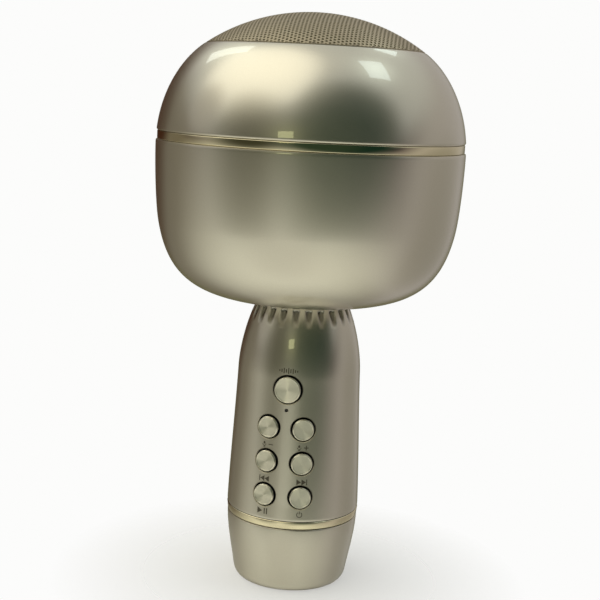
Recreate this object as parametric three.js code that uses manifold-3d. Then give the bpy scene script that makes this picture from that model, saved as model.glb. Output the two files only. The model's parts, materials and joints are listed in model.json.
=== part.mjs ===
// Handheld wireless karaoke microphone with a mushroom-shaped speaker head.
// Units are millimetres and +Z is up. The origin is the centre of the tail cap's underside, and the button
// panel faces -Y. The head, its speaker and its microphone capsule share the Z axis with the handle.
import * as THREE from "three";
import { mergeVertices } from "three/addons/utils/BufferGeometryUtils.js";
import Module from "manifold-3d";

const wasm = await Module();
wasm.setup();

// ---------------------------------------------------------------- driving dimensions

const ROUND = 36; // facets round the large turned pieces
const FINE = 24; // facets round the speaker's pieces
const SMALL = 12; // facets round buttons and holes
const GAP = 0.3; // clearance between pieces that touch
const WALL = 2.5; // moulded wall of the shells

const HEAD_RADIUS = 62;
const HEAD_TOP = 232.5;
const HEAD_BOTTOM = 117.9;
const WIDEST_Z = 178.9; // height of the head's largest diameter

const GRILLE_SPHERE = 75.4; // radius of the perforated dome
const GRILLE_RADIUS = 43.3; // where the dome meets the upper shell
const GRILLE_SHEET = 0.8;
const GRILLE_FLANGE_Z = 214.7;
const GRILLE_FLANGE_RADIUS = 45.2;
const FOAM_THICKNESS = 3;

const HEAD_RING_LOW = 180.4; // trim ring between the two head shells
const HEAD_RING_HIGH = 183.9;
const HEAD_RING_RADIUS = 61.45;
const TONGUE_INNER = 56.9; // the upper shell's tongue, inside the lower shell
const TONGUE_OUTER = 58.8;
const TONGUE_LOW = 177.4;
const SHELF_TOP = 171.7; // shelf in the lower shell that carries the baffle
const SHELF_INNER = 53.5;

const BRIDGE_LOW = 201; // three-armed bridge that clamps the grille and carries the capsule
const BRIDGE_THICKNESS = 2;
const BRIDGE_SCREW_RADIUS = 49;
const CAPSULE_SEAT_Z = 213;
const CAPSULE_RADIUS = 5.2;

const BAFFLE_LOW = 172;
const BAFFLE_HIGH = 174.6;
const BAFFLE_SCREW_RADIUS = 56.3;
const SPEAKER_SCREW_RADIUS = 35.3;
const CONE_TOP_RADIUS = 26;
const CONE_TOP = 173.2; // leaves the cone room to ride up and down under its surround
const COIL_RADIUS = 8.4;
const MAGNET_RADIUS = 22;

const NECK_RADIUS = 15.4; // tube of the lower head shell that the handle clamps
const NECK_BORE = 12.6;
const NECK_FLANGE_RADIUS = 18;
const NECK_FLANGE_LOW = 104.6;
const NECK_FLANGE_HIGH = 107.4;

const HANDLE_TOP = HEAD_BOTTOM - 0.4;
const HANDLE_BOTTOM = 31.7;
const HANDLE_BOTTOM_RADIUS = 27.35;
const HANDLE_TOP_RADIUS = 18.3;
const SEAM_GAP = 0.24; // between the front and rear handle halves
const FLUTES = 24;
const FLUTE_PHASE = THREE.MathUtils.degToRad(2.5);
const FLUTE_TOP_Z = 116;

const TAIL_RING_LOW = 28.3;
const TAIL_RING_HIGH = 31.45;
const SLEEVE_INNER = 22.6; // threaded sleeve of the tail ring
const SLEEVE_OUTER = 24.3;
const SLEEVE_TOP = 36.2;
const TAIL_CAP_TOP = 28;
const TAIL_SPIGOT_RADIUS = 22;
const TAIL_SPIGOT_INNER = 19.6;
const TAIL_SPIGOT_TOP = 35;

const BATTERY_RADIUS = 9.2; // an 18650 cell
const BATTERY_LOW = 30;
const BATTERY_LENGTH = 65;
const BATTERY_Y = 2.5;
const TUBE_INNER = 9.6;
const TUBE_OUTER = 11.2;

const BUTTON_BOARD = { x: 13, front: -15.4, back: -13.8, low: 36.5, high: 93 };
const MAIN_BOARD = { x: 11, front: 17, back: 18.6, low: 40, high: 92 };
const SWITCH = { side: 6, height: 3.5, holeRadius: 2.1, holeDepth: 2.8 };

const COLUMN_ANGLE = THREE.MathUtils.degToRad(15.8); // the two button columns, left and right of the front
const ROWS = [69.4, 55.55, 41.7];
const LARGE_BUTTON = { hole: 5.85, cap: 5.2, flange: 6.5, flangeDrop: 3.6 };
const SMALL_BUTTON = { hole: 4.9, cap: 4.25, flange: 5.4, flangeDrop: 3.4 };
const BUTTONS = [
  { name: "effect", angle: 0, z: 85.1, size: LARGE_BUTTON },
  { name: "mic_down", angle: -COLUMN_ANGLE, z: ROWS[0], size: SMALL_BUTTON },
  { name: "mic_up", angle: COLUMN_ANGLE, z: ROWS[0], size: SMALL_BUTTON },
  { name: "previous", angle: -COLUMN_ANGLE, z: ROWS[1], size: SMALL_BUTTON },
  { name: "next", angle: COLUMN_ANGLE, z: ROWS[1], size: SMALL_BUTTON },
  { name: "play", angle: -COLUMN_ANGLE, z: ROWS[2], size: SMALL_BUTTON },
  { name: "power", angle: COLUMN_ANGLE, z: ROWS[2], size: SMALL_BUTTON },
];
const BUTTON_PROUD = 0.8; // how far a cap stands out of the handle
const STEM_RADIUS = 1.5;
const STEM_END = 18.2; // distance of a stem's end from the handle's axis
const STATUS_LIGHT_Z = 76.8;

const HANDLE_SCREW_X = 17.5;
const HANDLE_SCREW_ZS = [40, 98];
const BOSS_RADIUS = 3.4;
const BOSS_END = 1.1; // the bosses stop this far from the seam, and the chassis ears fill the space
const SCREW_WELL_Y = 8; // depth reached by the wells in the rear half
const USB_Z = 44;
const JACK_Z = 54.5;
const CARD_Z = 64;

// ---------------------------------------------------------------- materials

const plastic = (color, roughness = 0.6) => new THREE.MeshStandardMaterial({ color, roughness, metalness: 0 });
const metal = (color, roughness = 0.35) => new THREE.MeshStandardMaterial({ color, roughness, metalness: 1 });
const MATERIALS = {
  paint: new THREE.MeshStandardMaterial({ color: 0xb5aa92, roughness: 0.32, metalness: 0.7 }),
  gold: metal(0xd9bd80, 0.12),
  grille: metal(0xb7a88a, 0.35),
  button: metal(0xd2cbb4, 0.25),
  steel: metal(0xb9b9b9, 0.3),
  magnet: plastic(0x3a3a3d, 0.5),
  black: plastic(0x1a1a1a),
  white: plastic(0xe6e3dc),
  board: plastic(0x1f5a35, 0.45),
  cell: plastic(0x3f78b5, 0.4),
  foam: plastic(0x2b2723, 0.95),
  rubber: plastic(0x161616, 0.85),
  paper: plastic(0x24211f, 0.9),
  copper: metal(0xb87333, 0.4),
  clear: plastic(0xdfe6e2, 0.15),
  redWire: plastic(0xa32020, 0.5),
  greyWire: plastic(0x6d6d6d, 0.5),
};

// ---------------------------------------------------------------- shape helpers

const microphone = new THREE.Group();

function addPart(name, geometry, material) {
  const mesh = new THREE.Mesh(geometry, material);
  mesh.name = name;
  microphone.add(mesh);
  return mesh;
}

// A solid of revolution about Z from [radius, height] pairs: a closed loop, or a line from axis to axis.
function lathe(outline, segments = ROUND) {
  const points = outline.map(([radius, height]) => new THREE.Vector2(radius, height));
  if (points[0].x > 0 || points.at(-1).x > 0) points.push(points[0].clone());
  if (THREE.ShapeUtils.area(points) < 0) points.reverse();
  return new THREE.LatheGeometry(points, segments).rotateX(Math.PI / 2);
}

function solidOf(geometry) {
  const bare = geometry.index ? geometry.toNonIndexed() : geometry.clone();
  bare.deleteAttribute("normal");
  bare.deleteAttribute("uv");
  const merged = mergeVertices(bare, 1e-3);
  return new wasm.Manifold(
    new wasm.Mesh({
      numProp: 3,
      vertProperties: merged.attributes.position.array,
      triVerts: new Uint32Array(merged.index.array),
    }),
  );
}

function geometryOf(solid) {
  const mesh = solid.getMesh();
  return new THREE.BufferGeometry()
    .setAttribute("position", new THREE.BufferAttribute(new Float32Array(mesh.vertProperties), 3))
    .setIndex(new THREE.BufferAttribute(new Uint32Array(mesh.triVerts), 1));
}

const join = (first, ...others) => others.reduce((whole, other) => whole.add(other), first);
const cut = (first, ...others) => others.reduce((whole, other) => whole.subtract(other), first);

function boxSolid([x0, x1], [y0, y1], [z0, z1]) {
  const box = new THREE.BoxGeometry(x1 - x0, y1 - y0, z1 - z0);
  return solidOf(box.translate((x0 + x1) / 2, (y0 + y1) / 2, (z0 + z1) / 2));
}

// A cylinder along Z from low to high, centred on (x, y).
function rodZ(radius, low, high, x = 0, y = 0, sides = SMALL) {
  const rod = new THREE.CylinderGeometry(radius, radius, high - low, sides).rotateX(Math.PI / 2);
  return solidOf(rod.translate(x, y, (low + high) / 2));
}

// A cylinder along Y from front to back, centred on (x, z).
function rodY(radius, front, back, x, z, sides = SMALL) {
  const rod = new THREE.CylinderGeometry(radius, radius, back - front, sides);
  return solidOf(rod.translate(x, (front + back) / 2, z));
}

// Puts a geometry made along +Z at a height on the handle, with its +Z pointing out at an angle from the front.
function facingOut(geometry, angle, z) {
  return geometry.rotateX(Math.PI / 2).rotateZ(angle).translate(0, 0, z);
}

const around = (count, start = 0) => Array.from({ length: count }, (_, i) => start + (i * 2 * Math.PI) / count);
const polar = (radius, angle) => [radius * Math.sin(angle), -radius * Math.cos(angle)];

function arcPoints(sphere, centreZ, maxRadius, steps) {
  const limit = Math.asin(maxRadius / sphere);
  return Array.from({ length: steps + 1 }, (_, i) => {
    const a = (limit * i) / steps;
    return [sphere * Math.sin(a), centreZ + sphere * Math.cos(a)];
  });
}

function bezierPoints(corners, steps) {
  const curve = new THREE.CubicBezierCurve(...corners.map(([r, z]) => new THREE.Vector2(r, z)));
  return curve.getPoints(steps).map((p) => [p.x, p.y]);
}

// The part of a line of [radius, height] pairs between two heights, with its ends cut exactly at them.
function between(line, low, high) {
  const rising = line[0][1] < line.at(-1)[1] ? line : [...line].reverse();
  const at = (z) => {
    const i = Math.max(rising.findIndex((p) => p[1] >= z), 1);
    const [[r0, z0], [r1, z1]] = [rising[i - 1], rising[i]];
    return [r0 + ((r1 - r0) * (z - z0)) / (z1 - z0), z];
  };
  return [at(low), ...rising.filter(([, z]) => z > low + 0.4 && z < high - 0.4), at(high)];
}

// The line moved inwards, square to itself.
function inset(line, distance) {
  return line.map(([r, z], i) => {
    const [r0, z0] = line[Math.max(i - 1, 0)];
    const [r1, z1] = line[Math.min(i + 1, line.length - 1)];
    const length = Math.hypot(r1 - r0, z1 - z0);
    return [r - (distance * Math.abs(z1 - z0)) / length, z + (distance * (r1 - r0)) / length];
  });
}

// ---------------------------------------------------------------- outlines

const domeCentreZ = HEAD_TOP - GRILLE_SPHERE;
const shoulder = bezierPoints([[43.5, 218.7], [54.5, 210.95], [HEAD_RADIUS, 195.6], [HEAD_RADIUS, WIDEST_Z]], 9);
const side = bezierPoints([[HEAD_RADIUS, WIDEST_Z], [HEAD_RADIUS, 169.4], [61.2, 153.9], [59.85, 147.4]], 4);
const bowl = bezierPoints([[59.85, 147.4], [55.75, 127.1], [45.5, HEAD_BOTTOM], [18, HEAD_BOTTOM]], 9);
const headLine = [...shoulder, ...side.slice(1), ...bowl.slice(1)].reverse(); // rising
const headInside = inset(headLine.filter((_, i) => i % 2 === 0), WALL);

const grip = bezierPoints([[HANDLE_BOTTOM_RADIUS, HANDLE_BOTTOM], [27, 50], [25.6, 72], [25.15, 89]], 4);
const neckCurve = bezierPoints([[25.15, 89], [24.9, 98], [22.2, 109.2], [HANDLE_TOP_RADIUS, HANDLE_TOP]], 6);
const handleLine = [...grip, ...neckCurve.slice(1)];
const handleRadiusAt = (z) => between(handleLine, z, z + 1)[0][0];

const tailSide = bezierPoints([[27.15, TAIL_CAP_TOP], [26.9, 20], [25, 12], [23.75, 4.4]], 4);
const tailCorner = bezierPoints([[23.75, 4.4], [23.3, 1.6], [22, 0], [19.8, 0]], 3);

// ---------------------------------------------------------------- head

function makeGrille() {
  const outside = arcPoints(GRILLE_SPHERE, domeCentreZ, GRILLE_RADIUS, 5);
  const inside = arcPoints(GRILLE_SPHERE - GRILLE_SHEET, domeCentreZ, GRILLE_RADIUS - GRILLE_SHEET, 5).reverse();
  const flange = [
    [GRILLE_RADIUS, GRILLE_FLANGE_Z + GRILLE_SHEET],
    [GRILLE_FLANGE_RADIUS, GRILLE_FLANGE_Z + GRILLE_SHEET],
    [GRILLE_FLANGE_RADIUS, GRILLE_FLANGE_Z],
    [GRILLE_RADIUS - GRILLE_SHEET, GRILLE_FLANGE_Z],
  ];
  addPart("grille_dome", lathe([...outside, ...flange, ...inside]), MATERIALS.grille);
}

function makeFoam() {
  const outer = GRILLE_SPHERE - GRILLE_SHEET - 0.7;
  const rim = GRILLE_RADIUS - GRILLE_SHEET - 0.6;
  const outside = arcPoints(outer, domeCentreZ, rim, 4);
  const inside = arcPoints(outer - FOAM_THICKNESS, domeCentreZ, rim, 4).reverse();
  addPart("foam_windscreen", lathe([...outside, ...inside], FINE), MATERIALS.foam);
}

const headBody = solidOf(lathe([[0, HEAD_BOTTOM], ...headLine, [0, headLine.at(-1)[1]]]));
const bridgeScrewAngles = around(3, Math.PI / 3);
const baffleScrewAngles = around(3, Math.PI / 3);

function makeUpperShell() {
  const shell = solidOf(
    lathe([
      ...between(headLine, HEAD_RING_HIGH, 218.6),
      [GRILLE_RADIUS + GAP, 215.8],
      [GRILLE_FLANGE_RADIUS + GAP, 215.8],
      [GRILLE_FLANGE_RADIUS + GAP, 213.2],
      ...between(headInside, 190, 210.8).reverse(),
      [TONGUE_INNER, 187.5],
      [TONGUE_INNER, TONGUE_LOW],
      [TONGUE_OUTER, TONGUE_LOW],
      [TONGUE_OUTER, HEAD_RING_HIGH],
    ]),
  );
  const bossLow = BRIDGE_LOW + BRIDGE_THICKNESS + GAP;
  const posts = bridgeScrewAngles.map((a) => rodZ(3.2, bossLow, 214, ...polar(BRIDGE_SCREW_RADIUS, a)));
  const pilots = bridgeScrewAngles.map((a) => rodZ(1.4, bossLow - 1, 209, ...polar(BRIDGE_SCREW_RADIUS, a)));
  const bored = cut(join(shell, ...posts.map((post) => post.intersect(headBody))), ...pilots);
  addPart("head_upper_shell", geometryOf(bored), MATERIALS.paint);
}

function makeHeadRing() {
  const low = HEAD_RING_LOW + 0.25;
  const high = HEAD_RING_HIGH - 0.25;
  const inner = TONGUE_OUTER + 0.4;
  const bevel = 0.45;
  const face = [
    [inner, low],
    [HEAD_RING_RADIUS - bevel, low],
    [HEAD_RING_RADIUS, low + bevel],
    [HEAD_RING_RADIUS, high - bevel],
    [HEAD_RING_RADIUS - bevel, high],
    [inner, high],
  ];
  addPart("head_trim_ring", lathe(face), MATERIALS.gold);
}

function makeLowerShell() {
  const shell = solidOf(
    lathe([
      ...between(headLine, HEAD_BOTTOM, HEAD_RING_LOW).reverse(),
      [NECK_RADIUS, HEAD_BOTTOM],
      [NECK_RADIUS, NECK_FLANGE_HIGH],
      [NECK_FLANGE_RADIUS, NECK_FLANGE_HIGH],
      [NECK_FLANGE_RADIUS, NECK_FLANGE_LOW],
      [NECK_BORE, NECK_FLANGE_LOW],
      [NECK_BORE, HEAD_BOTTOM + WALL],
      ...headInside.filter(([, z]) => z > HEAD_BOTTOM + WALL + 0.2 && z < 162),
      [SHELF_INNER, 168],
      [SHELF_INNER, SHELF_TOP],
      [TONGUE_OUTER + GAP, SHELF_TOP],
      [TONGUE_OUTER + GAP, HEAD_RING_LOW],
    ]),
  );
  const pilots = baffleScrewAngles.map((a) => rodZ(1.6, 160, SHELF_TOP + 1, ...polar(BAFFLE_SCREW_RADIUS, a)));
  addPart("head_lower_shell", geometryOf(cut(shell, ...pilots)), MATERIALS.paint);
}

function makeMicBridge() {
  const high = BRIDGE_LOW + BRIDGE_THICKNESS;
  const clamp = solidOf(
    lathe([
      [40, BRIDGE_LOW],
      [51.5, BRIDGE_LOW],
      [51.5, high],
      [44.9, high],
      [44.9, GRILLE_FLANGE_Z - GAP],
      [42.9, GRILLE_FLANGE_Z - GAP],
      [42.9, high],
      [40, high],
    ]),
  );
  const arm = boxSolid([-2.5, 2.5], [-41, 0], [BRIDGE_LOW, high]);
  const arms = [0, 120, 240].map((degrees) => arm.rotate([0, 0, degrees]));
  const hub = rodZ(9, BRIDGE_LOW, high, 0, 0, FINE);
  const stalk = rodZ(5.5, BRIDGE_LOW, CAPSULE_SEAT_Z, 0, 0, SMALL);
  const holes = bridgeScrewAngles.map((a) => rodZ(1.7, BRIDGE_LOW - 1, high + 1, ...polar(BRIDGE_SCREW_RADIUS, a)));
  addPart("mic_bridge", geometryOf(cut(join(clamp, ...arms, hub, stalk), ...holes)), MATERIALS.black);
}

function makeCapsule() {
  const seat = CAPSULE_SEAT_Z + GAP;
  const cup = [
    [0, seat],
    [8.5, seat],
    [8.5, seat + 6],
    [CAPSULE_RADIUS + GAP, seat + 6],
    [CAPSULE_RADIUS + GAP, seat + 1.7],
    [0, seat + 1.7],
  ];
  addPart("capsule_mount", lathe(cup, FINE), MATERIALS.rubber);
  const low = seat + 2;
  const capsule = [
    [0, low],
    [CAPSULE_RADIUS, low],
    [CAPSULE_RADIUS, low + 6.4],
    [CAPSULE_RADIUS - 0.6, low + 7],
    [0, low + 7],
  ];
  addPart("mic_capsule", lathe(capsule, FINE), MATERIALS.steel);
}

// A self-tapping screw along +Z with its head's underside at zero.
function screwOutline(headRadius, headHeight, shankRadius, length) {
  return [
    [0, headHeight],
    [headRadius, headHeight],
    [headRadius, 0],
    [shankRadius, 0],
    [shankRadius, 0.8 - length],
    [0, -length],
  ];
}

function makeHeadScrews() {
  const bridge = screwOutline(2.7, 1.6, 1.15, 7.5);
  bridgeScrewAngles.forEach((a, i) => {
    const screw = lathe(bridge, 8).rotateX(Math.PI);
    addPart(`bridge_screw_${i + 1}`, screw, MATERIALS.steel).position.set(
      ...polar(BRIDGE_SCREW_RADIUS, a),
      BRIDGE_LOW - 0.1,
    );
  });
  const baffle = screwOutline(2.7, 1.6, 1.3, 10);
  baffleScrewAngles.forEach((a, i) => {
    addPart(`baffle_screw_${i + 1}`, lathe(baffle, 8), MATERIALS.steel).position.set(
      ...polar(BAFFLE_SCREW_RADIUS, a),
      BAFFLE_HIGH + 0.1,
    );
  });
  const speaker = screwOutline(2.2, 1.4, 0.95, 7);
  around(3).forEach((a, i) => {
    addPart(`speaker_screw_${i + 1}`, lathe(speaker, 8), MATERIALS.steel).position.set(
      ...polar(SPEAKER_SCREW_RADIUS, a),
      BAFFLE_HIGH + 1.9,
    );
  });
}

// ---------------------------------------------------------------- speaker

const MIC_WIRE_HOLE = [-46.9, 14.3]; // where the capsule's lead passes the baffle

function makeBaffle() {
  const plate = rodZ(TONGUE_OUTER - 0.2, BAFFLE_LOW, BAFFLE_HIGH, 0, 0, ROUND);
  const [low, high] = [BAFFLE_LOW - 1, BAFFLE_HIGH + 1];
  const holes = [
    rodZ(31, low, high, 0, 0, FINE),
    rodZ(2.4, low, high, ...MIC_WIRE_HOLE),
    ...baffleScrewAngles.map((a) => rodZ(1.7, low, high, ...polar(BAFFLE_SCREW_RADIUS, a))),
    ...around(3).map((a) => rodZ(1.3, low, high, ...polar(SPEAKER_SCREW_RADIUS, a))),
  ];
  addPart("baffle_plate", geometryOf(cut(plate, ...holes)), MATERIALS.black);
}

function makeSpeaker() {
  const flangeLow = BAFFLE_HIGH + GAP;
  const flangeHigh = flangeLow + 1.4;
  const basket = solidOf(
    lathe(
      [
        [38, flangeHigh],
        [38, flangeLow],
        [30.2, flangeLow],
        [17.6, 157],
        [9.5, 157],
        [9.5, 158.2],
        [16.8, 158.2],
        [28.8, 174.4],
        [28.8, flangeHigh],
      ],
      FINE,
    ),
  );
  const windows = [45, 135].map((degrees) => boxSolid([-40, 40], [-8, 8], [161, 171]).rotate([0, 0, degrees]));
  const screwHoles = around(3).map((a) =>
    rodZ(1.3, flangeLow - 1, flangeHigh + 1, ...polar(SPEAKER_SCREW_RADIUS, a)),
  );
  addPart("speaker_frame", geometryOf(cut(basket, ...windows, ...screwHoles)), MATERIALS.black);

  const ring = (inner, outer, low, high) => lathe([[inner, low], [outer, low], [outer, high], [inner, high]], FINE);
  addPart("speaker_magnet", ring(11, MAGNET_RADIUS, 147.5, 155.2), MATERIALS.magnet);
  addPart("speaker_top_plate", ring(9, 20, 155.4, 156.8), MATERIALS.steel);
  const yoke = [[0, 144.5], [20, 144.5], [20, 147.2], [7, 147.2], [7, 156.8], [0, 156.8]];
  addPart("speaker_yoke", lathe(yoke, FINE), MATERIALS.steel);
  addPart("voice_coil", ring(COIL_RADIUS - 0.9, COIL_RADIUS, 150, 163), MATERIALS.copper);
  const cone = [
    [COIL_RADIUS + 0.25, 160.6],
    [CONE_TOP_RADIUS, CONE_TOP - 0.9],
    [CONE_TOP_RADIUS, CONE_TOP],
    [COIL_RADIUS + 0.25, 161.5],
  ];
  addPart("speaker_cone", lathe(cone, FINE), MATERIALS.paper);
  const cap = [[0, 166.4], [4.5, 165.8], [8.3, 163.9], [8.3, 163.3], [4.5, 165.1], [0, 165.7]];
  addPart("dust_cap", lathe(cap, FINE), MATERIALS.paper);
  const roll = [
    [25.8, 174.5],
    [26.6, 176.9],
    [28.4, 178.2],
    [30.2, 177.1],
    [32.6, 177.1],
    [32.6, flangeHigh + 0.2],
    [29.8, flangeHigh + 0.2],
    [28.4, 177.5],
    [27.3, 176.4],
    [26.6, 174.5],
  ];
  addPart("speaker_surround", lathe(roll, FINE), MATERIALS.rubber);
}

// ---------------------------------------------------------------- handle

const handleBody = solidOf(lathe([[0, HANDLE_BOTTOM], ...handleLine, [0, HANDLE_TOP]]));

// A straight groove cut into the neck, deepest under the rim and running out on the shoulder below it.
function fluteCutter(angle) {
  const groove = new THREE.CapsuleGeometry(1.35, 9, 1, 6).rotateX(Math.PI / 2);
  groove.translate(0, 0, -4.5).rotateX(THREE.MathUtils.degToRad(-36));
  return solidOf(groove.translate(0, -18.9, FLUTE_TOP_Z - 1.3).rotateZ(angle));
}

function makeHandleHalves() {
  const inside = handleLine.filter((_, i) => i % 2 === 0).map(([r, z]) => [r - WALL, z]);
  const tube = solidOf(
    lathe([
      ...handleLine,
      [NECK_RADIUS + 0.4, HANDLE_TOP],
      [NECK_RADIUS + 0.4, NECK_FLANGE_HIGH + GAP],
      ...between(inside, HANDLE_BOTTOM, NECK_FLANGE_HIGH + GAP).reverse(),
    ]),
  );
  const fluted = cut(tube, ...around(FLUTES, FLUTE_PHASE).map(fluteCutter));
  const places = HANDLE_SCREW_ZS.flatMap((z) => [-HANDLE_SCREW_X, HANDLE_SCREW_X].map((x) => [x, z]));

  const frontSpace = boxSolid([-30, 30], [-30, -SEAM_GAP / 2], [30, 120]);
  const frontBosses = places.map(([x, z]) => rodY(BOSS_RADIUS, -25, -BOSS_END, x, z).intersect(handleBody));
  const pilots = places.map(([x, z]) => rodY(1.4, -9, 0, x, z));
  const buttonHoles = BUTTONS.map(({ angle, z, size }) => {
    const drill = new THREE.CylinderGeometry(size.hole, size.hole, 14, 16).rotateX(Math.PI / 2);
    return solidOf(facingOut(drill.translate(0, 0, 25), angle, z));
  });
  const lightHole = rodY(0.75, -30, -20, 0, STATUS_LIGHT_Z);
  const front = cut(join(fluted.intersect(frontSpace), ...frontBosses), ...pilots, ...buttonHoles, lightHole);
  addPart("handle_front_shell", geometryOf(front), MATERIALS.paint);

  const rearSpace = boxSolid([-30, 30], [SEAM_GAP / 2, 30], [30, 120]);
  const rearBosses = places.map(([x, z]) => rodY(BOSS_RADIUS, BOSS_END, 25, x, z).intersect(handleBody));
  const clearances = places.map(([x, z]) => rodY(1.7, 0, SCREW_WELL_Y + 1, x, z));
  const wells = places.map(([x, z]) => rodY(3, SCREW_WELL_Y, 30, x, z));
  const ports = [
    boxSolid([-4.4, 4.4], [20, 30], [USB_Z - 1.9, USB_Z + 1.9]),
    rodY(3.2, 20, 30, 0, JACK_Z, SMALL * 2),
    boxSolid([-6.2, 6.2], [20, 30], [CARD_Z - 0.9, CARD_Z + 0.9]),
  ];
  const rear = cut(join(fluted.intersect(rearSpace), ...rearBosses), ...clearances, ...wells, ...ports);
  addPart("handle_rear_shell", geometryOf(rear), MATERIALS.paint);

  const screw = screwOutline(2.6, 2, 1.1, 16);
  places.forEach(([x, z], i) => {
    const turned = lathe(screw, 8).rotateX(-Math.PI / 2);
    addPart(`handle_screw_${i + 1}`, turned, MATERIALS.steel).position.set(x, SCREW_WELL_Y + 0.2, z);
  });
}

function makeTail() {
  const ring = [
    [SLEEVE_INNER, TAIL_RING_LOW],
    [HANDLE_BOTTOM_RADIUS - 0.35, TAIL_RING_LOW],
    [HANDLE_BOTTOM_RADIUS, TAIL_RING_LOW + 0.35],
    [HANDLE_BOTTOM_RADIUS, TAIL_RING_HIGH - 0.35],
    [HANDLE_BOTTOM_RADIUS - 0.35, TAIL_RING_HIGH],
    [SLEEVE_OUTER, TAIL_RING_HIGH],
    [SLEEVE_OUTER, SLEEVE_TOP],
    [SLEEVE_INNER, SLEEVE_TOP],
  ];
  addPart("handle_trim_ring", lathe(ring), MATERIALS.gold);

  const postTop = 21;
  const cap = [
    [0, 0],
    ...[...tailSide, ...tailCorner.slice(1)].reverse(),
    [TAIL_SPIGOT_RADIUS, TAIL_CAP_TOP],
    [TAIL_SPIGOT_RADIUS, TAIL_SPIGOT_TOP],
    [TAIL_SPIGOT_INNER, TAIL_SPIGOT_TOP],
    [TAIL_SPIGOT_INNER, 24],
    [22, 20],
    [20.8, 6],
    [18.5, 3],
    [4, 3],
    [4, postTop],
    [0, postTop],
  ];
  addPart("tail_cap", lathe(cap), MATERIALS.paint);

  const low = postTop + GAP;
  const contact = [
    [0, low],
    [8.5, low],
    [8.5, low + 1.2],
    [6, low + 1.2],
    [3.5, BATTERY_LOW - 0.5],
    [0, BATTERY_LOW - 0.5],
  ];
  addPart("battery_contact", lathe(contact, FINE), MATERIALS.steel);
}

// ---------------------------------------------------------------- buttons and electronics

// A cap with a chamfered face, a retaining flange behind the shell and a stem that works the switch.
function buttonOutline(size, surface) {
  const face = surface + BUTTON_PROUD;
  const flangeTop = surface - size.flangeDrop;
  return [
    [0, face],
    [size.cap - 0.5, face],
    [size.cap, face - 0.5],
    [size.cap, flangeTop],
    [size.flange, flangeTop],
    [size.flange, flangeTop - 0.9],
    [STEM_RADIUS, flangeTop - 0.9],
    [STEM_RADIUS, STEM_END],
    [0, STEM_END],
  ];
}

function makeButtons() {
  for (const { name, angle, z, size } of BUTTONS) {
    const button = facingOut(lathe(buttonOutline(size, handleRadiusAt(z)), SMALL), angle, z);
    addPart(`${name}_button`, button, MATERIALS.button);

    const x = (STEM_END + 0.8) * Math.sin(angle);
    const half = SWITCH.side / 2;
    const back = BUTTON_BOARD.front - 0.05;
    const front = back - SWITCH.height;
    const body = boxSolid([x - half, x + half], [front, back], [z - half, z + half]);
    const hole = rodY(SWITCH.holeRadius, front - 1, front + SWITCH.holeDepth, x, z, 8);
    addPart(`${name}_switch`, geometryOf(cut(body, hole)), MATERIALS.black);
  }
}

function makeBoards() {
  const board = ({ x, front, back, low, high }) => geometryOf(boxSolid([-x, x], [front, back], [low, high]));
  addPart("button_board", board(BUTTON_BOARD), MATERIALS.board);
  addPart("main_board", board(MAIN_BOARD), MATERIALS.board);

  const pipeEnd = -handleRadiusAt(STATUS_LIGHT_Z) + 0.4;
  const pipe = rodY(0.45, pipeEnd, BUTTON_BOARD.front - 0.1, 0, STATUS_LIGHT_Z, 8);
  addPart("status_light_pipe", geometryOf(pipe), MATERIALS.clear);

  const seat = MAIN_BOARD.back + 0.05;
  const usb = cut(
    boxSolid([-3.9, 3.9], [seat, 25.8], [USB_Z - 1.5, USB_Z + 1.5]),
    boxSolid([-3.4, 3.4], [21, 27], [USB_Z - 1, USB_Z + 1]),
  );
  addPart("usb_port", geometryOf(usb), MATERIALS.steel);
  const jackBody = boxSolid([-3, 3], [seat, 23.5], [JACK_Z - 3, JACK_Z + 3]);
  const jack = cut(join(jackBody, rodY(2.8, 23, 26, 0, JACK_Z)), rodY(1.8, 19.5, 27, 0, JACK_Z, 8));
  addPart("aux_jack", geometryOf(jack), MATERIALS.black);
  const card = cut(
    boxSolid([-6.6, 6.6], [seat, 22.4], [CARD_Z - 1.2, CARD_Z + 1.2]),
    boxSolid([-5.6, 5.6], [20, 25], [CARD_Z - 0.5, CARD_Z + 0.5]),
  );
  addPart("card_slot", geometryOf(card), MATERIALS.steel);
}

function makeBattery() {
  const top = BATTERY_LOW + BATTERY_LENGTH;
  const cell = lathe(
    [[0, BATTERY_LOW], [BATTERY_RADIUS, BATTERY_LOW], [BATTERY_RADIUS, top], [3, top], [3, top + 1.3], [0, top + 1.3]],
    FINE,
  );
  addPart("battery_cell", cell, MATERIALS.cell).position.y = BATTERY_Y;

  const tube = rodZ(TUBE_OUTER, 37, 98.6, 0, BATTERY_Y, FINE);
  const bore = rodZ(TUBE_INNER, 36, 97, 0, BATTERY_Y, FINE);
  const ribs = [50, 88].map((z) => boxSolid([-11, 11], [BUTTON_BOARD.back + GAP, MAIN_BOARD.front - GAP], [z, z + 1.6]));
  const earX = [9.8, 20.3];
  const ears = HANDLE_SCREW_ZS.flatMap((z) => [
    boxSolid(earX, [-0.8, 0.8], [z - 3.2, z + 3.2]),
    boxSolid([-earX[1], -earX[0]], [-0.8, 0.8], [z - 3.2, z + 3.2]),
  ]);
  const holes = HANDLE_SCREW_ZS.flatMap((z) => [-1, 1].map((s) => rodY(1.7, -2, 2, s * HANDLE_SCREW_X, z)));
  addPart("chassis", geometryOf(cut(join(tube, ...ribs, ...ears), bore, ...holes)), MATERIALS.white);
}

// ---------------------------------------------------------------- wiring

// A lead along a smooth line through the points.
function lead(name, radius, route, steps, material) {
  const section = new THREE.Shape(around(6).map((a) => new THREE.Vector2(...polar(radius, a))));
  const path = new THREE.CatmullRomCurve3(route.map((p) => new THREE.Vector3(...p)));
  addPart(name, new THREE.ExtrudeGeometry(section, { steps, bevelEnabled: false, extrudePath: path }), material);
}

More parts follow.
